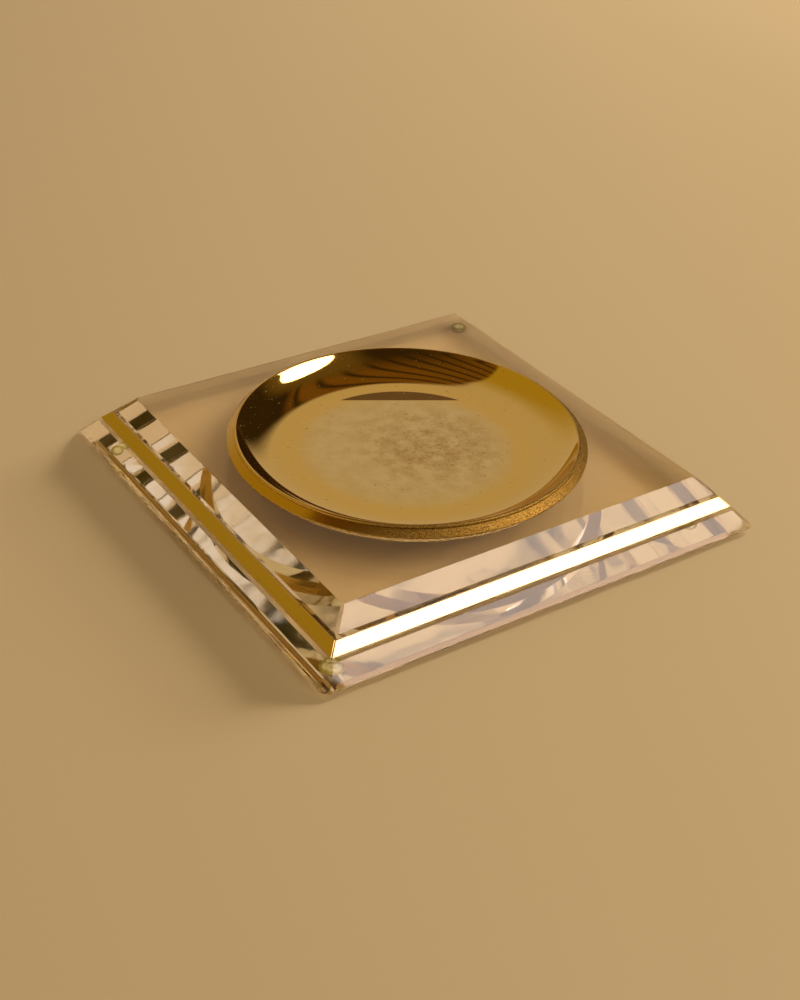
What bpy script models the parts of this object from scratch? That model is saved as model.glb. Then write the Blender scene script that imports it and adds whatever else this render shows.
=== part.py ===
# A square trinket dish: a brass bowl let into a block of clear acrylic, whose wide bevels carry a mitred
# inlay of flat brass bars. Metres, +Z up. The origin is on the table, under the middle of the dish.

import math

import bmesh
import bpy
from mathutils import Matrix, Vector

# Clear slab: a square of thick sheet with a wide bevel on all four top edges
SLAB_SIDE = 0.260
SLAB_THICKNESS = 0.025
SLAB_WALL = 0.0004         # upright edge left below the bevels
BEVEL_RUN = 0.0244         # how far each bevel reaches in, seen from above
HIP_FACET = 0.0016         # narrow flat along each hip, where two bevels meet
CORNER_FACET = 0.004       # the same flat at its foot, as it widens below the bars

# Brass inlay: four flat bars in one groove that runs round the bevels
BAR_WIDTH = 0.0072
BAR_THICKNESS = 0.003
BAR_SINK = 0.0002          # the bar's face lies this far below the bevel
BAR_ARRIS = 0.0004         # softened edges of the bar
BAR_CENTRE_SHARE = 0.494   # place of the bar on the bevel, from its lower edge upwards
GROOVE_LIP = 0.0017        # width of the eased edge on each side of the groove
GROOVE_LIP_DEPTH = 0.0011
BAR_CLEARANCE = 0.0003     # between a bar and its groove, and across each mitre

# Brass bowl: spun sheet with a bead for a rim and a coned skirt that rests on the slab
RIM_RADIUS = 0.0908        # outside of the bead
RIM_HEIGHT = 0.0048        # top of the bead above the slab
BEAD_RADIUS = 0.0011
CREASE_DEPTH = 0.0003      # how far the crease under the bead is drawn in
BOWL_DEPTH = 0.012         # from the bead's top down to the bowl's floor
BOWL_SHEET = 0.0015
FLOOR_RADIUS = 0.055       # flat middle of the bowl, from where the wall curves up ever faster
LIP_SLOPE = 50             # degrees, of the wall where it runs into the bead
SKIRT_LAP = 0.0048         # how far the skirt covers the slab around the recess
SKIRT_EDGE = 0.0005        # height of the skirt's upright edge

# Round recess in the slab that the bowl hangs in
RECESS_CLEARANCE = 0.0007  # from the bowl's lip out to the recess
RECESS_SPARE = 0.0014      # air under the bowl's floor

# Soft bumper feet under the corners
FOOT_DIAMETER = 0.009
FOOT_HEIGHT = 0.0022
FOOT_CROWN = 0.0007        # rounding of the foot's lower edge
foot_place_shares = {      # across and along the slab's side, from the front corner
    "front": (0.050, 0.053),
    "right": (0.874, 0.072),
    "left": (0.040, 0.866),
    "back": (0.918, 0.907),
}

SEAT_GAP = 0.0003          # air left between pieces that rest on each other
CUT_OVERRUN = 0.005        # how far a cutting tool runs past what it cuts

ROUND_STEPS = 96
WALL_STEPS = 12
BEAD_STEPS = 4
FOOT_STEPS = 24
HALVINGS = 30
MERGE_LIMIT = 0.00001

HALF_SIDE = SLAB_SIDE / 2
SLAB_BASE = FOOT_HEIGHT + SEAT_GAP
SLAB_TOP = SLAB_BASE + SLAB_THICKNESS
BEVEL_RISE = SLAB_THICKNESS - SLAB_WALL
BEVEL_LENGTH = math.hypot(BEVEL_RUN, BEVEL_RISE)
BAR_CENTRE = BAR_CENTRE_SHARE * BEVEL_LENGTH
GROOVE_HALF = BAR_WIDTH / 2 + BAR_CLEARANCE
LIP_RADIUS = RIM_RADIUS - BEAD_RADIUS * (1 + math.sin(math.radians(LIP_SLOPE)))
LIP_RISE = BOWL_DEPTH - BEAD_RADIUS * (1 - math.cos(math.radians(LIP_SLOPE)))
RECESS_RADIUS = LIP_RADIUS + RECESS_CLEARANCE
RECESS_DEPTH = BOWL_DEPTH + BOWL_SHEET + RECESS_SPARE - RIM_HEIGHT
SKIRT_RADIUS = RECESS_RADIUS + SKIRT_LAP


def clear_scene():
    for thing in list(bpy.data.objects):
        bpy.data.objects.remove(thing, do_unlink=True)
    for group in list(bpy.data.collections):
        bpy.data.collections.remove(group)


def new_collection(name):
    group = bpy.data.collections.new(name)
    bpy.context.scene.collection.children.link(group)
    return group


def new_material(name, colour, roughness, metallic=0.0, transmission=0.0, ior=1.5):
    material = bpy.data.materials.new(name)
    material.use_nodes = True
    shader = material.node_tree.nodes["Principled BSDF"]
    shader.inputs["Base Color"].default_value = (*colour, 1.0)
    shader.inputs["Roughness"].default_value = roughness
    shader.inputs["Metallic"].default_value = metallic
    shader.inputs["Transmission Weight"].default_value = transmission
    shader.inputs["IOR"].default_value = ior
    return material


def add_object(name, mesh, group, material=None):
    thing = bpy.data.objects.new(name, mesh)
    group.objects.link(thing)
    if material:
        mesh.materials.append(material)
    return thing


def profile_mesh(name, points):
    """A chain of edges in the XZ plane, one for each pair of (radius, height) points."""
    mesh = bpy.data.meshes.new(name)
    edges = [(i, i + 1) for i in range(len(points) - 1)]
    mesh.from_pydata([(radius, 0, height) for radius, height in points], edges, [])
    return mesh


def turn_profile(thing, steps, smooth):
    turn = thing.modifiers.new("turn", "SCREW")
    turn.axis = "Z"
    turn.steps = steps
    turn.render_steps = steps
    turn.use_merge_vertices = True
    turn.merge_threshold = MERGE_LIMIT
    turn.use_smooth_shade = smooth
    return turn


def arc_points(centre, radii, start, end, count):
    """Points on an arc or a quarter ellipse, from one angle in degrees to another."""
    points = []
    for step in range(count + 1):
        angle = math.radians(start + (end - start) * step / count)
        points.append((centre[0] + radii[0] * math.cos(angle), centre[1] + radii[1] * math.sin(angle)))
    return points


def bevel_point(along, depth):
    """A point in the slab's section: along the bevel from its lower edge, and depth below its surface."""
    run, rise = BEVEL_RUN / BEVEL_LENGTH, BEVEL_RISE / BEVEL_LENGTH
    out = HALF_SIDE - along * run - depth * rise
    height = SLAB_WALL + along * rise - depth * run
    return out, height


def slab_section():
    """The slab's half section with its groove, from the middle of the top round to the middle of the base."""
    upper, lower = BAR_CENTRE + GROOVE_HALF, BAR_CENTRE - GROOVE_HALF
    floor = BAR_SINK + BAR_THICKNESS + BAR_CLEARANCE
    return [
        (0, SLAB_THICKNESS),
        bevel_point(BEVEL_LENGTH, 0),
        bevel_point(upper + GROOVE_LIP, 0),
        bevel_point(upper, GROOVE_LIP_DEPTH),
        bevel_point(upper, floor),
        bevel_point(lower, floor),
        bevel_point(lower, GROOVE_LIP_DEPTH),
        bevel_point(lower - GROOVE_LIP, 0),
        (HALF_SIDE, SLAB_WALL),
        (HALF_SIDE, 0),
        (0, 0),
    ]


def corner_section():
    """Half section across a corner, just inside the sharp hip, as far as the hip's flat."""
    diagonal = math.sqrt(2)
    hip, corner = HIP_FACET / 2, CORNER_FACET / 2
    steepness = BEVEL_RUN / BEVEL_RISE
    top = SLAB_THICKNESS + CUT_OVERRUN
    bar_out, bar_height = bevel_point(BAR_CENTRE, 0)
    return [
        (0, top),
        (diagonal * (HALF_SIDE - steepness * (top - SLAB_WALL)) - hip, top),
        (diagonal * bar_out - hip, bar_height),
        (diagonal * HALF_SIDE - corner, 0),
        (diagonal * HALF_SIDE - corner, -CUT_OVERRUN),
        (0, -CUT_OVERRUN),
    ]


def turn_square(name, section, group, quarter_turn):
    """A square block: its half section turned in four steps, whose corners lie at the profile's radius."""
    diagonal = math.sqrt(2)
    thing = add_object(name, profile_mesh(name, [(out * diagonal, height) for out, height in section]), group)
    turn_profile(thing, 4, False)
    thing.rotation_euler.z = quarter_turn
    thing.location.z = SLAB_BASE
    return thing


def boolean(thing, cutter, operation):
    cutter.hide_render = True
    cutter.display_type = "WIRE"
    cut = thing.modifiers.new(cutter.name, "BOOLEAN")
    cut.operation = operation
    cut.object = cutter
    cut.solver = "EXACT"


def make_slab(parts, cutters, material):
    slab = turn_square("clear_slab", slab_section(), parts, math.radians(45))
    slab.data.materials.append(material)
    corners = turn_square("corner_trim", corner_section(), cutters, 0)
    boolean(slab, corners, "INTERSECT")

    shape = bmesh.new()
    height = RECESS_DEPTH + CUT_OVERRUN
    place = Matrix.Translation((0, 0, SLAB_TOP - RECESS_DEPTH + height / 2))
    bmesh.ops.create_cone(shape, cap_ends=True, segments=ROUND_STEPS, radius1=RECESS_RADIUS,
                          radius2=RECESS_RADIUS, depth=height, matrix=place)
    mesh = bpy.data.meshes.new("recess_cutter")
    shape.to_mesh(mesh)
    shape.free()
    boolean(slab, add_object("recess_cutter", mesh, cutters), "DIFFERENCE")
    return slab


def make_bar(name, quarter, parts, material):
    """One inlay bar: its section drawn along the bevel and cut to a mitre at both ends."""
    lower, upper = BAR_CENTRE - BAR_WIDTH / 2, BAR_CENTRE + BAR_WIDTH / 2
    corners = [(lower, BAR_SINK), (upper, BAR_SINK),
               (upper, BAR_SINK + BAR_THICKNESS), (lower, BAR_SINK + BAR_THICKNESS)]
    shape = bmesh.new()
    section = []
    for along, depth in corners:
        out, height = bevel_point(along, depth)
        section.append(shape.verts.new((-HALF_SIDE, -out, SLAB_BASE + height)))
    end = shape.faces.new(section)
    drawn = bmesh.ops.extrude_face_region(shape, geom=[end])
    far_end = [item for item in drawn["geom"] if isinstance(item, bmesh.types.BMVert)]
    bmesh.ops.translate(shape, verts=far_end, vec=(SLAB_SIDE, 0, 0))
    for side in (-1, 1):
        normal = Vector((side, 1, 0)).normalized()
        cut = bmesh.ops.bisect_plane(shape, geom=shape.verts[:] + shape.edges[:] + shape.faces[:],
                                     plane_co=-normal * BAR_CLEARANCE / 2, plane_no=normal, clear_outer=True)
        edges = [item for item in cut["geom_cut"] if isinstance(item, bmesh.types.BMEdge)]
        bmesh.ops.contextual_create(shape, geom=edges)
    bmesh.ops.recalc_face_normals(shape, faces=shape.faces[:])
    mesh = bpy.data.meshes.new(name)
    shape.to_mesh(mesh)
    shape.free()
    bar = add_object(name, mesh, parts, material)
    bar.rotation_euler.z = math.radians(90 * quarter)
    soften = bar.modifiers.new("arris", "BEVEL")
    soften.width = BAR_ARRIS
    soften.segments = 2
    soften.limit_method = "ANGLE"
    soften.angle_limit = math.radians(30)
    return bar


def wall_point(share, depth):
    """A point of the bowl's wall: share of the way out from the flat floor to the lip, depth into the sheet."""
    reach = LIP_RADIUS - FLOOR_RADIUS
    lip_steepness = math.tan(math.radians(LIP_SLOPE))
    power = lip_steepness * reach / LIP_RISE
    slope = math.atan(lip_steepness * share ** (power - 1))
    height = RIM_HEIGHT - BOWL_DEPTH + LIP_RISE * share ** power
    return FLOOR_RADIUS + share * reach + depth * math.sin(slope), height - depth * math.cos(slope)


def seat_share():
    """How far out the wall's outside passes the level of the seat, found by halving."""
    low, high = 0, 1
    for _ in range(HALVINGS):
        middle = (low + high) / 2
        if wall_point(middle, BOWL_SHEET)[1] > SEAT_GAP:
            high = middle
        else:
            low = middle
    return low


def bowl_section():
    """The bowl's half section, heights from the slab's top: inside, over the bead, down the skirt and back."""
    floor = RIM_HEIGHT - BOWL_DEPTH
    bead = (RIM_RADIUS - BEAD_RADIUS, RIM_HEIGHT - BEAD_RADIUS)
    crease_height = bead[1] - BEAD_RADIUS / 2
    inside = [(0, floor)] + [wall_point(step / WALL_STEPS, 0) for step in range(WALL_STEPS + 1)]
    up_bead = arc_points(bead, (BEAD_RADIUS, BEAD_RADIUS), 90 + LIP_SLOPE, 90, BEAD_STEPS)
    down_bead = arc_points(bead, (BEAD_RADIUS, BEAD_RADIUS), 90, 0, BEAD_STEPS)
    skirt = [
        (RIM_RADIUS - CREASE_DEPTH, crease_height),
        (SKIRT_RADIUS - SKIRT_EDGE / 2, SEAT_GAP + SKIRT_EDGE),
        (SKIRT_RADIUS, SEAT_GAP + SKIRT_EDGE / 2),
        (SKIRT_RADIUS, SEAT_GAP),
    ]
    seat = seat_share()
    outside = [wall_point(seat * step / WALL_STEPS, BOWL_SHEET) for step in range(WALL_STEPS, -1, -1)]
    return inside + up_bead[1:] + down_bead[1:] + skirt + outside + [(0, floor - BOWL_SHEET)]


def make_bowl(parts, material):
    bowl = add_object("brass_bowl", profile_mesh("brass_bowl", bowl_section()), parts, material)
    turn_profile(bowl, ROUND_STEPS, True)
    bowl.location.z = SLAB_TOP
    return bowl


def make_foot(corner, shares, parts, material):
    radius = FOOT_DIAMETER / 2
    rounding = arc_points((radius - FOOT_CROWN, FOOT_CROWN), (FOOT_CROWN, FOOT_CROWN), 0, -90, 4)
    section = [(0, FOOT_HEIGHT), (radius, FOOT_HEIGHT)] + rounding + [(0, 0)]
    name = "bumper_foot_" + corner
    foot = add_object(name, profile_mesh(name, section), parts, material)
    turn_profile(foot, FOOT_STEPS, True)
    foot.location = [share * SLAB_SIDE - HALF_SIDE for share in shares] + [0]
    return foot


def build():
    clear_scene()
    parts = new_collection("trinket_dish")
    cutters = new_collection("cutters")

    acrylic = new_material("clear_cast_acrylic", (0.98, 0.97, 0.95), 0.02, transmission=1.0, ior=1.49)
    inlay_brass = new_material("satin_brass_bar", (0.62, 0.42, 0.10), 0.3, metallic=1.0)
    bowl_brass = new_material("polished_brass_sheet", (0.72, 0.53, 0.24), 0.15, metallic=1.0)
    bumper = new_material("yellowed_bumper_plastic", (0.70, 0.62, 0.20), 0.45)

    make_slab(parts, cutters, acrylic)
    for quarter, side in enumerate(("front_right", "back_right", "back_left", "front_left")):
        make_bar("inlay_bar_" + side, quarter, parts, inlay_brass)
    make_bowl(parts, bowl_brass)
    for corner, shares in foot_place_shares.items():
        make_foot(corner, shares, parts, bumper)


build()
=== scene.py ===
# Trinket dish: a spun brass bowl in a block of clear acrylic, with brass bars let into its bevels
import math
import bmesh
import bpy
from mathutils import Matrix, Vector


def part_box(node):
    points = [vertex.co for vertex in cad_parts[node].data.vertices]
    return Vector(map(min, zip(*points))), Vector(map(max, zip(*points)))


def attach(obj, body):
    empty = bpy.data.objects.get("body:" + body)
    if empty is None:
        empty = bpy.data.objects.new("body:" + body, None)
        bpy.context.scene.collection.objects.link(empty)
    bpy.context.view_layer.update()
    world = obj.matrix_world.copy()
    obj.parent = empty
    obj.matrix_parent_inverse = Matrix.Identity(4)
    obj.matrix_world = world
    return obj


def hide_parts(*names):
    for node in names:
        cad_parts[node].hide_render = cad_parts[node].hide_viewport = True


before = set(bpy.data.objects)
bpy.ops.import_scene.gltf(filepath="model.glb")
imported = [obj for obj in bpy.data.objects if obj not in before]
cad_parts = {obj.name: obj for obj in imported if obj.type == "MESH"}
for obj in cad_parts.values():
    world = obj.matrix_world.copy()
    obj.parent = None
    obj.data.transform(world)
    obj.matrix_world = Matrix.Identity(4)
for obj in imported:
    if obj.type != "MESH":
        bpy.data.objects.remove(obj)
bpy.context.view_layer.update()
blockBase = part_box("clear_slab")[0].z
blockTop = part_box("clear_slab")[1].z
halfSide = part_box("clear_slab")[1].x
print("frame loaded:", len(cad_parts), "nodes")

millimetre = 0.001  # sizes are in metres and angles in degrees, except where a note says otherwise
mergeWithin = 0.000005


def hexColour(code):
    values = [int(code[i:i + 2], 16) / 255 for i in (1, 3, 5)]
    return tuple(v / 12.92 if v <= 0.04045 else ((v + 0.055) / 1.055) ** 2.4 for v in values) + (1.0,)


# inputs go by name or in order; a node stands for its first output in use, and a hex code for its colour
def feed(tree, node, inputs):
    for key, value in (inputs.items() if isinstance(inputs, dict) else enumerate(inputs)):
        if isinstance(value, bpy.types.Node):
            value = next(output for output in value.outputs if output.enabled)
        if isinstance(value, bpy.types.NodeSocket):
            tree.links.new(value, node.inputs[key])
        else:
            node.inputs[key].default_value = hexColour(value) if isinstance(value, str) else value


def addNode(tree, kind, settings=None, inputs=()):
    node = tree.nodes.new(kind)
    for name, value in (settings or {}).items():
        setattr(node, name, value)
    feed(tree, node, inputs)
    return node


# one tree turns any half section about Z: four steps give a square block, many give a round piece
def turnedTree():
    tree = bpy.data.node_groups.new("turnedPiece", "GeometryNodeTree")
    for name, kind in (("Section", "Geometry"), ("Steps", "Int"), ("First angle", "Float"),
                       ("Merge within", "Float"), ("Finish", "Material")):
        tree.interface.new_socket(name, in_out="INPUT", socket_type="NodeSocket" + kind)
    tree.interface.new_socket("Turned", in_out="OUTPUT", socket_type="NodeSocketGeometry")
    given = addNode(tree, "NodeGroupInput").outputs
    count = addNode(tree, "GeometryNodeAttributeDomainSize", None, {"Geometry": given["Section"]})
    rows = count.outputs["Point Count"]
    columns = addNode(tree, "ShaderNodeMath", {"operation": "ADD"}, (given["Steps"], 1.0))
    grid = addNode(tree, "GeometryNodeMeshGrid", None, {"Vertices X": columns, "Vertices Y": rows})
    # each column of the grid is the section again, turned a step further
    index = addNode(tree, "GeometryNodeInputIndex")
    row = addNode(tree, "ShaderNodeMath", {"operation": "MODULO"}, (index, rows))
    column = addNode(tree, "ShaderNodeMath", {"operation": "DIVIDE"}, (index, rows))
    column = addNode(tree, "ShaderNodeMath", {"operation": "FLOOR"}, (column,))
    share = addNode(tree, "ShaderNodeMath", {"operation": "DIVIDE"}, (column, given["Steps"]))
    angle = addNode(tree, "ShaderNodeMath", {"operation": "MULTIPLY_ADD"},
                    (share, math.tau, given["First angle"]))
    place = addNode(tree, "GeometryNodeInputPosition")
    point = addNode(tree, "GeometryNodeSampleIndex", {"data_type": "FLOAT_VECTOR", "domain": "POINT"},
                    {"Geometry": given["Section"], "Value": place, "Index": row})
    turned = addNode(tree, "ShaderNodeVectorRotate", {"rotation_type": "Z_AXIS"},
                     {"Vector": point, "Angle": angle})
    moved = addNode(tree, "GeometryNodeSetPosition", None, {"Geometry": grid, "Position": turned})
    merged = addNode(tree, "GeometryNodeMergeByDistance", None,
                     {"Geometry": moved, "Distance": given["Merge within"]})
    real = addNode(tree, "GeometryNodeRealizeInstances", None, {"Geometry": merged})
    done = addNode(tree, "GeometryNodeSetMaterial", None,
                   {"Geometry": real, "Material": given["Finish"]})
    addNode(tree, "NodeGroupOutput", None, {"Turned": done})
    return tree


turnedPiece = turnedTree()


def setInput(modifier, name, value):
    for item in modifier.node_group.interface.items_tree:
        if item.item_type == "SOCKET" and item.in_out == "INPUT" and item.name == name:
            modifier[item.identifier] = value


def linkObject(name, data):
    thing = bpy.data.objects.new(name, data)
    bpy.context.scene.collection.objects.link(thing)
    return thing


def plainMesh(thing):
    depsgraph = bpy.context.evaluated_depsgraph_get()
    mesh = bpy.data.meshes.new_from_object(thing.evaluated_get(depsgraph))
    thing.modifiers.clear()
    thing.data = mesh
    return mesh


# edges that turn by more than smoothBelow degrees stay sharp; without it the piece is flat shaded
def turnSection(name, section, steps, finish, firstAngle=0.0, smoothBelow=None):
    mesh = bpy.data.meshes.new(name)
    mesh.from_pydata([(out, 0, height) for out, height in section],
                     [(i, i + 1) for i in range(len(section) - 1)], [])
    thing = linkObject(name, mesh)
    modifier = thing.modifiers.new("turned", "NODES")
    modifier.node_group = turnedPiece
    for key, value in (("Steps", steps), ("First angle", firstAngle), ("Merge within", mergeWithin),
                       ("Finish", finish)):
        setInput(modifier, key, value)
    mesh = plainMesh(thing)
    shape = bmesh.new()
    shape.from_mesh(mesh)
    bmesh.ops.recalc_face_normals(shape, faces=shape.faces[:])
    shape.to_mesh(mesh)
    shape.free()
    if smoothBelow:
        mesh.shade_smooth()
        mesh.set_sharp_from_angle(angle=math.radians(smoothBelow))
    else:
        mesh.shade_flat()
    return thing


def arcPoints(centre, radius, start, end, count):
    angles = [math.radians(start + (end - start) * i / count) for i in range(count + 1)]
    return [(centre[0] + radius * math.cos(a), centre[1] + radius * math.sin(a)) for a in angles]


# materials; in a look a noise is the width of its cells in millimetres, its detail and its roughness,
# and a name that ends in Edge holds the values between which a blend goes from none to full
smooth = {"interpolation_type": "SMOOTHSTEP"}
evenly = {"interpolation_type": "LINEAR"}
colours = {"data_type": "RGBA"}


def newMaterial(name):
    material = bpy.data.materials.new(name)
    material.use_nodes = True
    tree = material.node_tree
    place = addNode(tree, "ShaderNodeTexCoord").outputs["Object"]
    return material, tree, tree.nodes["Principled BSDF"], place


# a noise's inputs, from its three numbers in a look
def cells(width, detail, roughness):
    return {"Scale": 1 / (width * millimetre), "Detail": detail, "Roughness": roughness}


# cast acrylic sheet, sawn, flame polished: clear with a faint warm tint, slow waves left by the polishing
# that bend what is seen through it, and a haze of fine dust and wiping marks
acrylicLook = {
    "tint": "#fdf8ee", "index": 1.43, "wave": (11.0, 1.0, 0.4), "waveHeight": 0.00003,
    "wipe": (26.0, 4.0, 0.6), "wipeEdge": (0.4, 0.7), "haze": (0.025, 0.055),
}


def castAcrylic():
    look = acrylicLook
    material, tree, shader, place = newMaterial("castAcrylicFlamePolished")
    wiped = addNode(tree, "ShaderNodeTexNoise", None, {"Vector": place, **cells(*look["wipe"])})
    haze = addNode(tree, "ShaderNodeMapRange", smooth, (wiped, *look["wipeEdge"], *look["haze"]))
    waves = addNode(tree, "ShaderNodeTexNoise", None, {"Vector": place, **cells(*look["wave"])})
    bump = addNode(tree, "ShaderNodeBump", None, {"Height": waves, "Distance": look["waveHeight"]})
    feed(tree, shader, {"Base Color": look["tint"], "Transmission Weight": 1.0, "IOR": look["index"],
                        "Roughness": haze, "Normal": bump})
    return material


# extruded brass flat bar, satin faced: drawing lines along the bar, coarser than real ones so that they
# show, a few dark pits, and a warm yellow
barLook = {
    "face": "#ceb47c", "worn": "#c8ad73", "pitTone": "#4b3b24",
    "line": (0.35, 3.0, 0.6), "lineLength": 60.0, "lineEdge": (0.35, 0.65), "lineHeight": 0.000004,
    "pit": (2.2, 2.0, 0.5), "pitEdge": (0.70, 0.76), "pitDepth": 0.5,
    "roughEdge": (0.3, 0.7), "rough": (0.08, 0.15),
}


def barBrass(alongX):
    look = barLook
    material, tree, shader, place = newMaterial("brassBarSatin" + ("AlongX" if alongX else "AlongY"))
    long = look["line"][0] / look["lineLength"]
    stretch = (long, 1.0, 1.0) if alongX else (1.0, long, 1.0)
    drawn = addNode(tree, "ShaderNodeMapping", None, {"Vector": place, "Scale": stretch})
    lines = addNode(tree, "ShaderNodeTexNoise", None, {"Vector": drawn, **cells(*look["line"])})
    worn = addNode(tree, "ShaderNodeMapRange", smooth, (lines, *look["lineEdge"]))
    tone = addNode(tree, "ShaderNodeMix", colours, {0: worn, 6: look["face"], 7: look["worn"]})
    pits = addNode(tree, "ShaderNodeTexNoise", None, {"Vector": place, **cells(*look["pit"])})
    pits = addNode(tree, "ShaderNodeMapRange", smooth, (pits, *look["pitEdge"]))
    pits = addNode(tree, "ShaderNodeMath", {"operation": "MULTIPLY"}, (pits, look["pitDepth"]))
    tone = addNode(tree, "ShaderNodeMix", colours, {0: pits, 6: tone, 7: look["pitTone"]})
    rough = addNode(tree, "ShaderNodeMapRange", smooth, (lines, *look["roughEdge"], *look["rough"]))
    bump = addNode(tree, "ShaderNodeBump", None, {"Height": lines, "Distance": look["lineHeight"]})
    feed(tree, shader, {"Base Color": tone, "Metallic": 1.0, "Roughness": rough, "Normal": bump})
    return material


# the bar's back, dark and blotchy: painted shade for the side of the bar that no light reaches in its
# groove
barBackPaintedShadeLook = {
    "dark": "#4b3b24", "bare": "#6b552f", "blotch": (7.0, 3.0, 0.6), "blotchEdge": (0.4, 0.65),
    "roughEdge": (0.3, 0.7), "rough": (0.35, 0.6), "metal": 0.6,
}


def barBackPaintedShade():
    look = barBackPaintedShadeLook
    material, tree, shader, place = newMaterial("brassBarBackPaintedShade")
    blotch = addNode(tree, "ShaderNodeTexNoise", None, {"Vector": place, **cells(*look["blotch"])})
    bare = addNode(tree, "ShaderNodeMapRange", smooth, (blotch, *look["blotchEdge"]))
    tone = addNode(tree, "ShaderNodeMix", colours, {0: bare, 6: look["dark"], 7: look["bare"]})
    rough = addNode(tree, "ShaderNodeMapRange", smooth, (blotch, *look["roughEdge"], *look["rough"]))
    feed(tree, shader, {"Base Color": tone, "Metallic": look["metal"], "Roughness": rough})
    return material


# spun brass sheet, buffed bright: fine rings from the lathe, a pale floor with a cloudy brown worn patch,
# a yellower wall and collar, a dark crescent at the floor's back edge that is a painted reflection, small
# dark specks, dust, and a sandy grain on one side of the collar whose dark tone is partly painted shade;
# rings and grain are coarser than real ones so that they show
bowlLook = {
    "floor": "#dac894", "floorWorn": "#d1ba80", "wall": "#d8bb70", "collar": "#c9a450",
    # the crescent colour is a painted dark reflection, and the sand colour is darkened as painted shade
    "ring": "#dbba62", "tarnish": "#ab874d", "paintedDarkReflection": "#71500b", "sand": "#4d370c",
    "speck": "#5d4225", "dust": "#cdb98c",
    # how far out the floor, the yellower ring round it and the collar begin and end
    "wallEdge": (0.042, 0.066), "collarEdge": (0.0885, 0.0900),
    "ringInEdge": (0.053, 0.059), "ringOutEdge": (0.070, 0.064), "ringShare": 0.55,
    # the worn patch lies off the middle, the painted dark reflection at the back of the floor, the sand and
    # its painted shade at the right front
    "patch": (0.012, -0.004, 0.0), "patchEdge": (0.052, 0.0104),
    "paintedReflectionSide": (0.492, 0.871, 0.0), "paintedReflectionEdge": (0.0500, 0.0506), "paintedReflectionOutEdge": (0.0606, 0.0598),
    "sandSide": (0.35, -0.94, 0.0), "sandEdge": (0.010, 0.060),
    "cloud": (10.0, 5.0, 0.6), "cloudEdge": (0.3, 0.75), "raggedEdge": (0.32, 0.60),
    "mottle": (1.5, 5.0, 0.75), "mottleEdge": (0.35, 0.68), "mottleDepth": (0.1, 0.9),
    "specks": (1.5, 1.0, 0.5), "speckEdge": (0.745, 0.775), "speckDepth": 0.7,
    "grain": (0.5, 2.0, 0.6), "grainEdge": (0.62, 0.38), "grainDepth": (0.2, 0.95),
    "grainHeight": 0.00005,
    "dustSpots": (0.9, 1.0, 0.5), "dustEdge": (0.735, 0.775), "dustMetal": (1.0, 0.45),
    "lathe": (0.45, 2.0, 0.5), "latheHeight": 0.0000015,
    # roughness of floor and wall, and what tarnish, collar and sand add to it
    "rough": (0.06, 0.05), "tarnishRough": 0.18, "collarRough": 0.10, "sandRough": 0.42,
}


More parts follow.
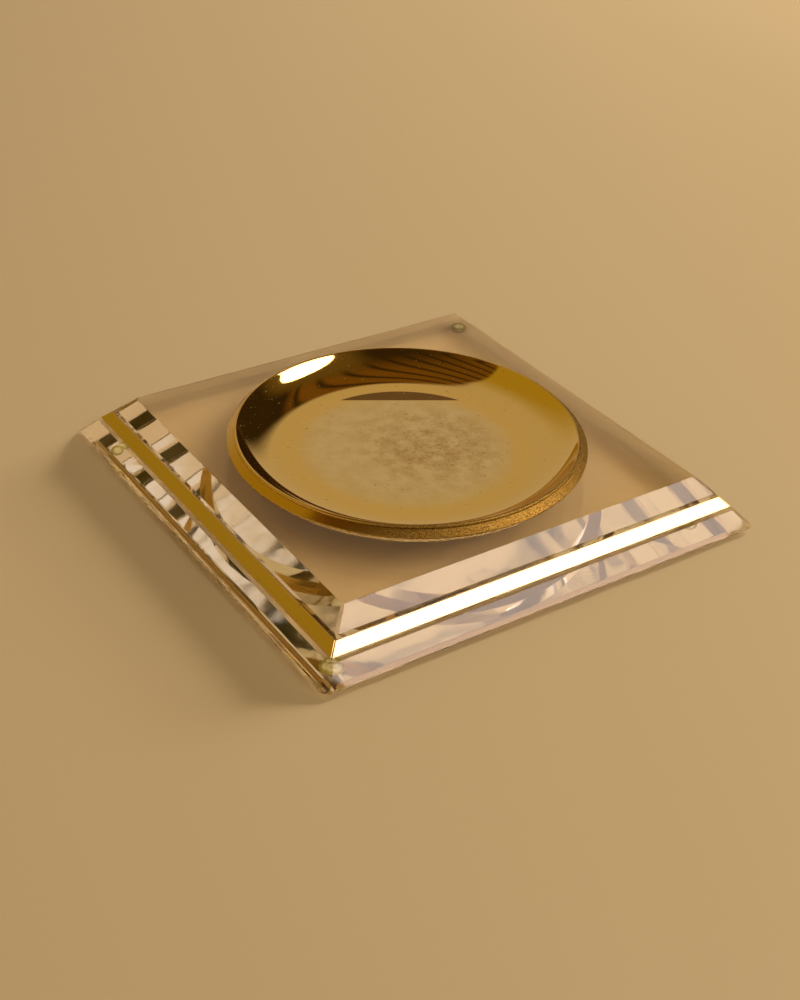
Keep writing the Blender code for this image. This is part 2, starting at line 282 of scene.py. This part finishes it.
def bowlBrass():
    look = bowlLook
    material, tree, shader, place = newMaterial("spunBrassBuffed")
    parts = addNode(tree, "ShaderNodeSeparateXYZ", None, (place,)).outputs
    level = addNode(tree, "ShaderNodeCombineXYZ", None, (parts["X"], parts["Y"]))
    out = addNode(tree, "ShaderNodeVectorMath", {"operation": "LENGTH"}, (level,))
    onWall = addNode(tree, "ShaderNodeMapRange", smooth, (out, *look["wallEdge"]))
    onCollar = addNode(tree, "ShaderNodeMapRange", smooth, (out, *look["collarEdge"]))
    noises = {name: addNode(tree, "ShaderNodeTexNoise", None, {"Vector": place, **cells(*look[name])})
              for name in ("cloud", "mottle", "specks", "grain", "dustSpots")}

    # worn patch off the middle of the floor, with a ragged and mottled edge
    away = addNode(tree, "ShaderNodeVectorMath", {"operation": "DISTANCE"}, (level, look["patch"]))
    tarnished = addNode(tree, "ShaderNodeMapRange", smooth, (away, *look["patchEdge"]))
    ragged = addNode(tree, "ShaderNodeMapRange", smooth, (noises["cloud"], *look["raggedEdge"]))
    mottled = addNode(tree, "ShaderNodeMapRange", smooth,
                      (noises["mottle"], *look["mottleEdge"], *look["mottleDepth"]))
    for share in (ragged, mottled):
        tarnished = addNode(tree, "ShaderNodeMath", {"operation": "MULTIPLY"}, (tarnished, share))

    # the ring just outside the floor, and the dark crescent at the floor's back edge, a painted reflection
    # of the dark room
    ringIn = addNode(tree, "ShaderNodeMapRange", smooth, (out, *look["ringInEdge"]))
    ringOut = addNode(tree, "ShaderNodeMapRange", smooth, (out, *look["ringOutEdge"]))
    ring = addNode(tree, "ShaderNodeMath", {"operation": "MULTIPLY"}, (ringIn, ringOut))
    ring = addNode(tree, "ShaderNodeMath", {"operation": "MULTIPLY"}, (ring, look["ringShare"]))
    # painted reflection: a dark crescent of colour where the floor's back edge mirrors the dark room
    toBack = addNode(tree, "ShaderNodeVectorMath", {"operation": "DOT_PRODUCT"}, (level, look["paintedReflectionSide"]))
    paintedReflectionIn = addNode(tree, "ShaderNodeMapRange", smooth, (toBack, *look["paintedReflectionEdge"]))
    paintedReflectionOut = addNode(tree, "ShaderNodeMapRange", smooth, (out, *look["paintedReflectionOutEdge"]))
    paintedReflectionMask = addNode(tree, "ShaderNodeMath", {"operation": "MULTIPLY"}, (paintedReflectionIn, paintedReflectionOut))

    # sand on one side of the collar, whose dark tone is also painted shade that dims the mirrored window
    # there, dark specks, and pale dust that shows against the wall's dark parts
    toSand = addNode(tree, "ShaderNodeVectorMath", {"operation": "DOT_PRODUCT"}, (level, look["sandSide"]))
    sandy = addNode(tree, "ShaderNodeMapRange", smooth, (toSand, *look["sandEdge"]))
    sandy = addNode(tree, "ShaderNodeMath", {"operation": "MULTIPLY"}, (onCollar, sandy))
    sandGrainsAndPaintedShade = addNode(tree, "ShaderNodeMapRange", smooth,
                     (noises["grain"], *look["grainEdge"], *look["grainDepth"]))
    sandGrainsAndPaintedShade = addNode(tree, "ShaderNodeMath", {"operation": "MULTIPLY"}, (sandy, sandGrainsAndPaintedShade))
    specks = addNode(tree, "ShaderNodeMapRange", smooth, (noises["specks"], *look["speckEdge"]))
    specks = addNode(tree, "ShaderNodeMath", {"operation": "MULTIPLY"}, (specks, look["speckDepth"]))
    dusty = addNode(tree, "ShaderNodeMapRange", smooth, (noises["dustSpots"], *look["dustEdge"]))
    dusty = addNode(tree, "ShaderNodeMath", {"operation": "MULTIPLY"}, (dusty, onWall))

    worn = addNode(tree, "ShaderNodeMapRange", smooth, (noises["cloud"], *look["cloudEdge"]))
    tone = look["floor"]
    for share, over in ((worn, "floorWorn"), (tarnished, "tarnish"), (onWall, "wall"), (ring, "ring"),
                        (onCollar, "collar"), (paintedReflectionMask, "paintedDarkReflection"), (sandGrainsAndPaintedShade, "sand"), (specks, "speck"),
                        (dusty, "dust")):
        tone = addNode(tree, "ShaderNodeMix", colours, {0: share, 6: tone, 7: look[over]})
    metal = addNode(tree, "ShaderNodeMapRange", evenly, (dusty, 0.0, 1.0, *look["dustMetal"]))

    rough = addNode(tree, "ShaderNodeMapRange", evenly, (onWall, 0.0, 1.0, *look["rough"]))
    for share, added in ((tarnished, "tarnishRough"), (onCollar, "collarRough"), (sandy, "sandRough")):
        share = addNode(tree, "ShaderNodeMath", {"operation": "MULTIPLY"}, (share, look[added]))
        rough = addNode(tree, "ShaderNodeMath", {"operation": "ADD"}, (rough, share))

    # fine rings from the lathe, and the relief of the sand
    outwards = addNode(tree, "ShaderNodeCombineXYZ", None, (out,))
    rings = addNode(tree, "ShaderNodeTexNoise", None, {"Vector": outwards, **cells(*look["lathe"])})
    rings = addNode(tree, "ShaderNodeMath", {"operation": "MULTIPLY"}, (rings, look["latheHeight"]))
    sand = addNode(tree, "ShaderNodeMath", {"operation": "MULTIPLY"}, (noises["grain"], sandy))
    sand = addNode(tree, "ShaderNodeMath", {"operation": "MULTIPLY"}, (sand, look["grainHeight"]))
    relief = addNode(tree, "ShaderNodeMath", {"operation": "ADD"}, (rings, sand))
    bump = addNode(tree, "ShaderNodeBump", None, {"Height": relief, "Distance": 1.0})
    feed(tree, shader, {"Base Color": tone, "Metallic": metal, "Roughness": rough, "Normal": bump})
    return material


# clear vinyl bumper gone yellow: milky, with a soft shine, darker towards its rim, and dusty
bumperLook = {
    "clear": "#fbf0b4", "ring": "#b3a02c", "dust": "#a8963a", "rimEdge": (0.4, 0.8),
    "dustSpots": (1.2, 3.0, 0.6), "dustEdge": (0.5, 0.75), "roughEdge": (0.3, 0.7), "rough": (0.22, 0.4),
    "clearness": 0.2, "index": 1.5,
}


def bumperVinyl():
    look = bumperLook
    material, tree, shader, place = newMaterial("bumperVinylYellowed")
    fromCentre = addNode(tree, "ShaderNodeAttribute", {"attribute_name": "fromCentre"}).outputs["Fac"]
    atRim = addNode(tree, "ShaderNodeMapRange", smooth, (fromCentre, *look["rimEdge"]))
    tone = addNode(tree, "ShaderNodeMix", colours, {0: atRim, 6: look["clear"], 7: look["ring"]})
    dust = addNode(tree, "ShaderNodeTexNoise", None, {"Vector": place, **cells(*look["dustSpots"])})
    dusty = addNode(tree, "ShaderNodeMapRange", smooth, (dust, *look["dustEdge"]))
    tone = addNode(tree, "ShaderNodeMix", colours, {0: dusty, 6: tone, 7: look["dust"]})
    rough = addNode(tree, "ShaderNodeMapRange", smooth, (dust, *look["roughEdge"], *look["rough"]))
    feed(tree, shader, {"Base Color": tone, "Roughness": rough, "IOR": look["index"],
                        "Transmission Weight": look["clearness"]})
    return material


acrylic, bowlFinish, bumper = castAcrylic(), bowlBrass(), bumperVinyl()
barFaces = (barBrass(True), barBrass(False))
barBackShade = barBackPaintedShade()
print("materials made")


# block of clear acrylic: bevels on all four sides, a groove along each for its bar, a round recess on top;
# its sizes, like those of the other pieces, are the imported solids'
block = {
    "wall": 0.0004, "bevelRun": 0.0244, "easedEdge": 0.0003, "smoothBelow": 15,
    "barCentreShare": 0.494,  # how far up the bevel the bars run
    "groove": 0.0035, "grooveHalf": 0.0039,
    "grooveLip": 0.0017, "grooveLipDepth": 0.0011, "hipFlat": 0.0016, "cornerFlat": 0.004,
    "recessRadius": 0.08956, "recessDepth": 0.0101, "recessSteps": 192,
    "cutterOver": 0.005,  # how far the cutting shapes reach past it
}
rise = blockTop - blockBase - block["wall"]
bevelLength = math.hypot(block["bevelRun"], rise)
barCentre = block["barCentreShare"] * bevelLength


# a place on the bevel: how far up along it from its foot, and how deep under its face
def bevelPoint(along, depth):
    run, lift = block["bevelRun"] / bevelLength, rise / bevelLength
    return halfSide - along * run - depth * lift, blockBase + block["wall"] + along * lift - depth * run


# three points that take the sharpness off a corner of a section
def eased(before, corner, after):
    corner = Vector(corner)
    ends = [corner + (Vector(point) - corner).normalized() * block["easedEdge"]
            for point in (before, after)]
    middle = (ends[0] + ends[1]) / 4 + corner / 2
    return [tuple(point) for point in (ends[0], middle, ends[1])]


def blockSection():
    upper, lower = barCentre + block["grooveHalf"], barCentre - block["grooveHalf"]
    return [
        (0, blockTop), *eased((0, blockTop), bevelPoint(bevelLength, 0), bevelPoint(upper, 0)),
        bevelPoint(upper + block["grooveLip"], 0), bevelPoint(upper, block["grooveLipDepth"]),
        bevelPoint(upper, block["groove"]), bevelPoint(lower, block["groove"]),
        bevelPoint(lower, block["grooveLipDepth"]), bevelPoint(lower - block["grooveLip"], 0),
        (halfSide, blockBase + block["wall"]), (halfSide, blockBase), (0, blockBase),
    ]


# the shape that the block is trimmed to lies across it, so that it flattens the hips and corners
def cornerSection():
    diagonal = math.sqrt(2)
    slope = block["bevelRun"] / rise
    wallTop, top = blockBase + block["wall"], blockTop + block["cutterOver"]
    hip, corner = block["hipFlat"] / 2, block["cornerFlat"] / 2
    barOut, barHeight = bevelPoint(barCentre, 0)
    return [
        (0, top), (diagonal * (halfSide - slope * (top - wallTop)) - hip, top),
        (diagonal * barOut - hip, barHeight), (diagonal * halfSide - corner, blockBase),
        (diagonal * halfSide - corner, blockBase - block["cutterOver"]),
        (0, blockBase - block["cutterOver"]),
    ]


# a square's corners are further out than its sides, which are where the section says
def squareOut(section):
    return [(out * math.sqrt(2), height) for out, height in section]


def cut(thing, other, operation):
    step = thing.modifiers.new(other.name, "BOOLEAN")
    step.object = other
    step.operation = operation
    step.solver = "EXACT"


def makeBlock():
    thing = turnSection("acrylicBlock", squareOut(blockSection()), 4, acrylic, math.radians(45))
    corners = turnSection("cornerTrim", squareOut(cornerSection()), 4, acrylic)
    cut(thing, corners, "INTERSECT")
    top, bottom = blockTop + block["cutterOver"], blockTop - block["recessDepth"]
    hole = [(0, top), (block["recessRadius"], top), (block["recessRadius"], bottom), (0, bottom)]
    recess = turnSection("recessCut", hole, block["recessSteps"], acrylic)
    cut(thing, recess, "DIFFERENCE")
    plainMesh(thing)
    for tool in (corners, recess):
        bpy.data.objects.remove(tool)
    thing.data.shade_smooth()
    thing.data.set_sharp_from_angle(angle=math.radians(block["smoothBelow"]))
    return thing


acrylicBlock = makeBlock()
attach(acrylicBlock, "block")
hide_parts("clear_slab")
print("block made")


# inlay bars, mitred where they meet; only the back takes the dark, dull finish that is painted shade
bar = {
    "width": 0.0072, "thickness": 0.003, "sink": 0.0002, "mitreGap": 0.0003,
    "arris": 0.0004, "arrisSteps": 3, "backFacing": 0.5,
    "nodes": {"FrontRight": "inlay_bar_front_right", "BackRight": "inlay_bar_back_right",
              "BackLeft": "inlay_bar_back_left", "FrontLeft": "inlay_bar_front_left"},
}


# drawn along X at the front right, mitred at both ends, then turned to its own side
def makeBar(side, quarter):
    low, high = barCentre - bar["width"] / 2, barCentre + bar["width"] / 2
    shape = bmesh.new()
    ends = []
    for end in (-1, 1):
        section = []
        for along, depth in ((low, 0), (high, 0), (high, bar["thickness"]), (low, bar["thickness"])):
            out, height = bevelPoint(along, bar["sink"] + depth)
            reach = out - bar["mitreGap"] / math.sqrt(2)
            section.append(shape.verts.new((end * reach, -out, height)))
        shape.faces.new(section)
        ends.append(section)
    left, right = ends
    for i in range(len(left)):
        shape.faces.new((left[i - 1], left[i], right[i], right[i - 1]))
    bmesh.ops.recalc_face_normals(shape, faces=shape.faces[:])
    turned = Matrix.Rotation(math.radians(90 * quarter), 4, "Z")
    shape.transform(turned)
    mesh = bpy.data.meshes.new("brassBar" + side)
    shape.to_mesh(mesh)
    shape.free()
    mesh.materials.append(barFaces[quarter % 2])
    mesh.materials.append(barBackShade)
    thing = linkObject("brassBar" + side, mesh)
    ease = thing.modifiers.new("arris", "BEVEL")
    ease.width = bar["arris"]
    ease.segments = bar["arrisSteps"]
    ease.limit_method = "ANGLE"
    plainMesh(thing).shade_flat()
    inward = turned.to_3x3() @ Vector((0, rise, -block["bevelRun"])).normalized()
    # the faces that look into the groove take the dark painted shade
    for face in thing.data.polygons:
        face.material_index = 1 if face.normal.dot(inward) > bar["backFacing"] else 0
    return thing


for quarter, (side, node) in enumerate(bar["nodes"].items()):
    piece = makeBar(side, quarter)
    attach(piece, "block")
    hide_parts(node)
print("bars made")


# spun bowl; heights are from the block's top
bowl = {
    "rimRadius": 0.0908, "rimHeight": 0.0048, "bead": 0.0011, "crease": 0.0003,
    "depth": 0.012, "sheet": 0.0015, "floorRadius": 0.055, "lipSlope": 50,
    "skirtRadius": 0.09436, "skirtEdge": 0.0006, "skirtFrom": 56, "skirtLip": 0.0001, "seat": 0.00004,
    "floorSteps": 6, "wallSteps": 48, "beadSteps": 20, "skirtSteps": 8, "turnSteps": 256,
    "smoothBelow": 35,
}
lipSlope = math.radians(bowl["lipSlope"])
bowlFloor = bowl["rimHeight"] - bowl["depth"]
beadCentre = (bowl["rimRadius"] - bowl["bead"], bowl["rimHeight"] - bowl["bead"])
lipRadius = beadCentre[0] - bowl["bead"] * math.sin(lipSlope)
lipRise = bowl["depth"] - bowl["bead"] * (1 - math.cos(lipSlope))


# share of the way out from the flat floor to the lip, and how deep in the sheet
def wallPoint(share, depth):
    reach = lipRadius - bowl["floorRadius"]
    steepness = math.tan(lipSlope)
    power = steepness * reach / lipRise
    slope = math.atan(steepness * share ** (power - 1))
    height = bowlFloor + lipRise * share ** power
    return bowl["floorRadius"] + share * reach + depth * math.sin(slope), height - depth * math.cos(slope)


def bowlSection():
    shares = [i / bowl["wallSteps"] for i in range(bowl["wallSteps"] + 1)]
    skirtCentre = (bowl["skirtRadius"] - bowl["skirtEdge"], bowl["seat"] + bowl["skirtLip"])
    points = [(bowl["floorRadius"] * i / bowl["floorSteps"], bowlFloor) for i in range(bowl["floorSteps"])]
    points += [wallPoint(share, 0) for share in shares]
    points += arcPoints(beadCentre, bowl["bead"], 90 + bowl["lipSlope"], 0, bowl["beadSteps"])[1:]
    points += [
        (bowl["rimRadius"] - bowl["crease"], beadCentre[1] - bowl["bead"] / 2),
        *arcPoints(skirtCentre, bowl["skirtEdge"], bowl["skirtFrom"], 0, bowl["skirtSteps"]),
        (bowl["skirtRadius"], bowl["seat"]),
    ]
    outside = [wallPoint(share, bowl["sheet"]) for share in reversed(shares)]
    points += [(out, height) for out, height in outside if height < bowl["seat"]]
    points += [(0, bowlFloor - bowl["sheet"])]
    return [(out, blockTop + height) for out, height in points]


brassBowl = turnSection("brassBowl", bowlSection(), bowl["turnSteps"], bowlFinish,
                        smoothBelow=bowl["smoothBelow"])
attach(brassBowl, "bowl")
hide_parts("brass_bowl")
print("bowl made")


# bumper feet, pressed flat against the block's underside
foot = {"crown": 0.0007, "crownSteps": 8, "pressedIn": 0.00002, "turnSteps": 48, "smoothBelow": 40}
for corner in ("front", "right", "left", "back"):
    low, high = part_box("bumper_foot_" + corner)
    radius, crown, top = (high.x - low.x) / 2, foot["crown"], blockBase + foot["pressedIn"]
    section = [(0, top), (radius, top)]
    section += arcPoints((radius - crown, crown), crown, 0, -90, foot["crownSteps"]) + [(0, 0)]
    piece = turnSection("bumperFoot" + corner.capitalize(), section, foot["turnSteps"], bumper,
                        smoothBelow=foot["smoothBelow"])
    fromCentre = piece.data.attributes.new("fromCentre", "FLOAT", "POINT")
    for i, vertex in enumerate(piece.data.vertices):
        fromCentre.data[i].value = vertex.co.xy.length / radius
    piece.data.transform(Matrix.Translation(((low.x + high.x) / 2, (low.y + high.y) / 2, 0)))
    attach(piece, "block")
    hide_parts("bumper_foot_" + corner)
print("feet made")


# camera at the photograph's viewing angle; its angles are in radians
view = {"lens": 54.615, "place": (-0.39587, -0.55594, 0.43626),
        "turn": -0.61551, "tilt": 0.98882, "roll": 0.05064}
camera = linkObject("camera", bpy.data.cameras.new("camera"))
camera.data.lens = view["lens"]
camera.location = view["place"]
camera.rotation_euler = (Matrix.Rotation(view["turn"], 3, "Z") @ Matrix.Rotation(view["tilt"], 3, "X")
                         @ Matrix.Rotation(view["roll"], 3, "Z")).to_euler()
bpy.context.scene.camera = camera


# floor, a matt painted sheet
floorLook = {"size": 4.0, "paint": "#cfb78c", "rough": 0.5, "grain": (1.6, 2.0, 0.5),
             "grainHeight": 0.00001}


def plainFloor():
    material, tree, shader, place = newMaterial("floorPaint")
    grain = addNode(tree, "ShaderNodeTexNoise", None, {"Vector": place, **cells(*floorLook["grain"])})
    bump = addNode(tree, "ShaderNodeBump", None,
                   {"Height": grain, "Distance": floorLook["grainHeight"]})
    feed(tree, shader, {"Base Color": floorLook["paint"], "Roughness": floorLook["rough"],
                        "Normal": bump})
    return material


floorShape = bmesh.new()
bmesh.ops.create_grid(floorShape, x_segments=1, y_segments=1, size=floorLook["size"])
floorMesh = bpy.data.meshes.new("floor")
floorShape.to_mesh(floorMesh)
floorShape.free()
floor = linkObject("floor", floorMesh)
floorMesh.materials.append(plainFloor())
print("floor made")


# the window is only mirrored; the others do the lighting, and metal doesn't mirror them; a light's
# direction is turned from +X and raised from the floor, and it faces the dish
lights = {
    "window": {"size": (1.67, 0.98), "away": 2.3, "turn": -37, "raised": 42, "watts": 38,
               "colour": "#ffe6d6"},
    "lamp": {"size": (0.64, 0.46), "away": 3.5, "turn": 9, "raised": 27, "watts": 62,
             "colour": "#fff6ec"},
    "soft": {"size": (1.8, 0.8), "away": 3.5, "turn": 8, "raised": 18, "watts": 56,
             "colour": "#fff6ec"},
    "side": {"size": (0.9, 0.9), "away": 1.25, "turn": -62, "raised": 48, "watts": 3.6,
             "colour": "#fff6ec"},
}


def directionTo(light):
    return (Matrix.Rotation(math.radians(light["turn"]), 3, "Z")
            @ Matrix.Rotation(-math.radians(light["raised"]), 3, "Y") @ Vector((1, 0, 0)))


for name, light in lights.items():
    area = bpy.data.lights.new(name, "AREA")
    area.shape = "ELLIPSE"
    area.size, area.size_y = light["size"]
    area.energy = light["watts"]
    area.color = hexColour(light["colour"])[:3]
    thing = linkObject(name, area)
    thing.location = directionTo(light) * light["away"]
    thing.rotation_euler = (-directionTo(light)).to_track_quat("-Z", "Y").to_euler()
    thing.visible_diffuse = name != "window"
    thing.visible_glossy = name == "window"
    thing.visible_transmission = False


# the room that metal mirrors: pale walls, and a dark beamed ceiling with a glow round the window;
# places in it are parts of a direction of length 1, with X to the right and Z up
mirrored = {
    "wall": "#cfb797", "wallWarm": "#b89730", "warmEdge": (0.2, -0.4), "dark": "#38280f",
    # the ceiling is where Y is under lineHeight plus a slope times X, and under lineTop
    "lineHeight": 0.40, "lineSlopes": (0.28, 0.45), "lineTop": 0.585,
    "softensEdge": (0.40, 0.70), "softness": (0.02, 0.09),
    # beams by their places on a level plane overhead; what is lower than lowest counts as that high
    "beam": "#7a5218", "beamSpacing": 0.21, "beamLine": 0.26, "beamShift": 0.03,
    "reachEdge": (-0.65, 0.25), "endEdge": (0.98, 0.80), "lowest": 0.3,
    "windowGlow": "#6e5526", "windowGlowEdge": (0.80, 0.95),
    # far from this direction the wall is pale again
    "ahead": (0.211, 0.453, 0.866), "behindEdge": (0.375, 0.30),
}
# what glass sees instead, with a bright spot near the lamp, and the light that it lets onto the floor
throughGlass = {
    "right": "#c9a679", "left": "#b99a68", "rightEdge": (0.1, 0.8),
    "spot": "#e6d0b8", "spotEdge": (0.955, 0.985),
    "under": "#c6a46a", "glow": "#fff5e0", "glowEdge": (0.90, 0.97), "fromLamp": 10.0,
    "fromWindow": 4.0,
}
room = {"ambient": "#917e5c", "behind": "#cdb99a"}  # what the floor gets, and what the camera sees


def mirroredRoom(tree, look, nearWindow):
    parts = addNode(tree, "ShaderNodeSeparateXYZ", None, (look,)).outputs
    slopes = [addNode(tree, "ShaderNodeMath", {"operation": "MULTIPLY_ADD"},
                      (parts["X"], slope, mirrored["lineHeight"])) for slope in mirrored["lineSlopes"]]
    line = addNode(tree, "ShaderNodeMath", {"operation": "MAXIMUM"}, slopes)
    line = addNode(tree, "ShaderNodeMath", {"operation": "MINIMUM"}, (line, mirrored["lineTop"]))
    past = addNode(tree, "ShaderNodeMath", {"operation": "SUBTRACT"}, (line, parts["Y"]))
    softness = addNode(tree, "ShaderNodeMapRange", smooth,
                       (parts["X"], *mirrored["softensEdge"], *mirrored["softness"]))
    past = addNode(tree, "ShaderNodeMath", {"operation": "DIVIDE"}, (past, softness))
    isDark = addNode(tree, "ShaderNodeMapRange", smooth, (past, -1.0, 1.0))

    up = addNode(tree, "ShaderNodeMath", {"operation": "MAXIMUM"}, (parts["Z"], mirrored["lowest"]))
    across = addNode(tree, "ShaderNodeMath", {"operation": "DIVIDE"}, (parts["X"], up))
    along = addNode(tree, "ShaderNodeMath", {"operation": "DIVIDE"}, (parts["Y"], up))
    beams = addNode(tree, "ShaderNodeMath", {"operation": "ADD"}, (across, mirrored["beamShift"]))
    beams = addNode(tree, "ShaderNodeMath", {"operation": "PINGPONG"}, (beams, mirrored["beamSpacing"] / 2))
    beams = addNode(tree, "ShaderNodeMapRange", smooth,
                    (beams, 0.0, mirrored["beamSpacing"] * mirrored["beamLine"]))
    for value, edge in ((along, "reachEdge"), (across, "endEdge")):
        within = addNode(tree, "ShaderNodeMapRange", smooth, (value, *mirrored[edge]))
        beams = addNode(tree, "ShaderNodeMath", {"operation": "MULTIPLY"}, (beams, within))
    dark = addNode(tree, "ShaderNodeMix", colours, {0: beams, 6: mirrored["dark"], 7: mirrored["beam"]})
    glow = addNode(tree, "ShaderNodeMapRange", smooth, (nearWindow, *mirrored["windowGlowEdge"]))
    dark = addNode(tree, "ShaderNodeMix", colours, {0: glow, 6: dark, 7: mirrored["windowGlow"]})

    # the wall is warmer to the left, and pale behind the camera
    warm = addNode(tree, "ShaderNodeMapRange", smooth, (parts["X"], *mirrored["warmEdge"]))
    wall = addNode(tree, "ShaderNodeMix", colours, {0: warm, 6: mirrored["wall"], 7: mirrored["wallWarm"]})
    whole = addNode(tree, "ShaderNodeMix", colours, {0: isDark, 6: wall, 7: dark})
    ahead = addNode(tree, "ShaderNodeVectorMath", {"operation": "DOT_PRODUCT"}, (look, mirrored["ahead"]))
    behind = addNode(tree, "ShaderNodeMapRange", smooth, (ahead, *mirrored["behindEdge"]))
    return addNode(tree, "ShaderNodeMix", colours, {0: behind, 6: whole, 7: mirrored["wall"]})


def roomThroughGlass(tree, look, nearWindow, depth):
    parts = addNode(tree, "ShaderNodeSeparateXYZ", None, (look,)).outputs
    left = addNode(tree, "ShaderNodeMapRange", smooth, (parts["X"], *throughGlass["rightEdge"], 1.0, 0.0))
    pale = addNode(tree, "ShaderNodeMix", colours,
                   {0: left, 6: throughGlass["right"], 7: throughGlass["left"]})
    nearLamp = addNode(tree, "ShaderNodeVectorMath", {"operation": "DOT_PRODUCT"},
                       (look, directionTo(lights["lamp"])))
    spot = addNode(tree, "ShaderNodeMapRange", smooth, (nearLamp, *throughGlass["spotEdge"]))
    pale = addNode(tree, "ShaderNodeMix", colours, {0: spot, 6: pale, 7: throughGlass["spot"]})
    glows = []
    for near, strength in ((nearLamp, "fromLamp"), (nearWindow, "fromWindow")):
        glow = addNode(tree, "ShaderNodeMapRange", smooth, (near, *throughGlass["glowEdge"]))
        glows.append(addNode(tree, "ShaderNodeMath", {"operation": "MULTIPLY"},
                             (glow, throughGlass[strength])))
    glow = addNode(tree, "ShaderNodeMath", {"operation": "ADD"}, glows)
    under = addNode(tree, "ShaderNodeMix", {**colours, "blend_type": "ADD", "clamp_factor": False},
                    {0: glow, 6: throughGlass["under"], 7: throughGlass["glow"]})
    fromFloor = addNode(tree, "ShaderNodeMapRange", evenly, (depth, 0.0, 1.0))
    return addNode(tree, "ShaderNodeMix", colours, {0: fromFloor, 6: pale, 7: under})


def makeRoom():
    world = bpy.data.worlds.new("studio")
    bpy.context.scene.world = world
    world.use_nodes = True
    tree = world.node_tree
    look = addNode(tree, "ShaderNodeTexCoord").outputs["Generated"]
    ray = addNode(tree, "ShaderNodeLightPath").outputs
    nearWindow = addNode(tree, "ShaderNodeVectorMath", {"operation": "DOT_PRODUCT"},
                         (look, directionTo(lights["window"])))
    metalSees = mirroredRoom(tree, look, nearWindow)
    glassSees = roomThroughGlass(tree, look, nearWindow, ray["Diffuse Depth"])
    tone = room["ambient"]
    for kind, seen in (("Is Glossy Ray", metalSees), ("Is Transmission Ray", glassSees),
                       ("Is Camera Ray", room["behind"])):
        tone = addNode(tree, "ShaderNodeMix", colours, {0: ray[kind], 6: tone, 7: seen})
    feed(tree, tree.nodes["Background"], {"Color": tone})


makeRoom()
print("lights and room made")

scene = bpy.context.scene
scene.view_settings.view_transform = "Standard"
# light crosses the block many times before it comes out
scene.cycles.max_bounces = 48
scene.cycles.transmission_bounces = 48
scene.cycles.glossy_bounces = 16
scene.cycles.transparent_max_bounces = 16
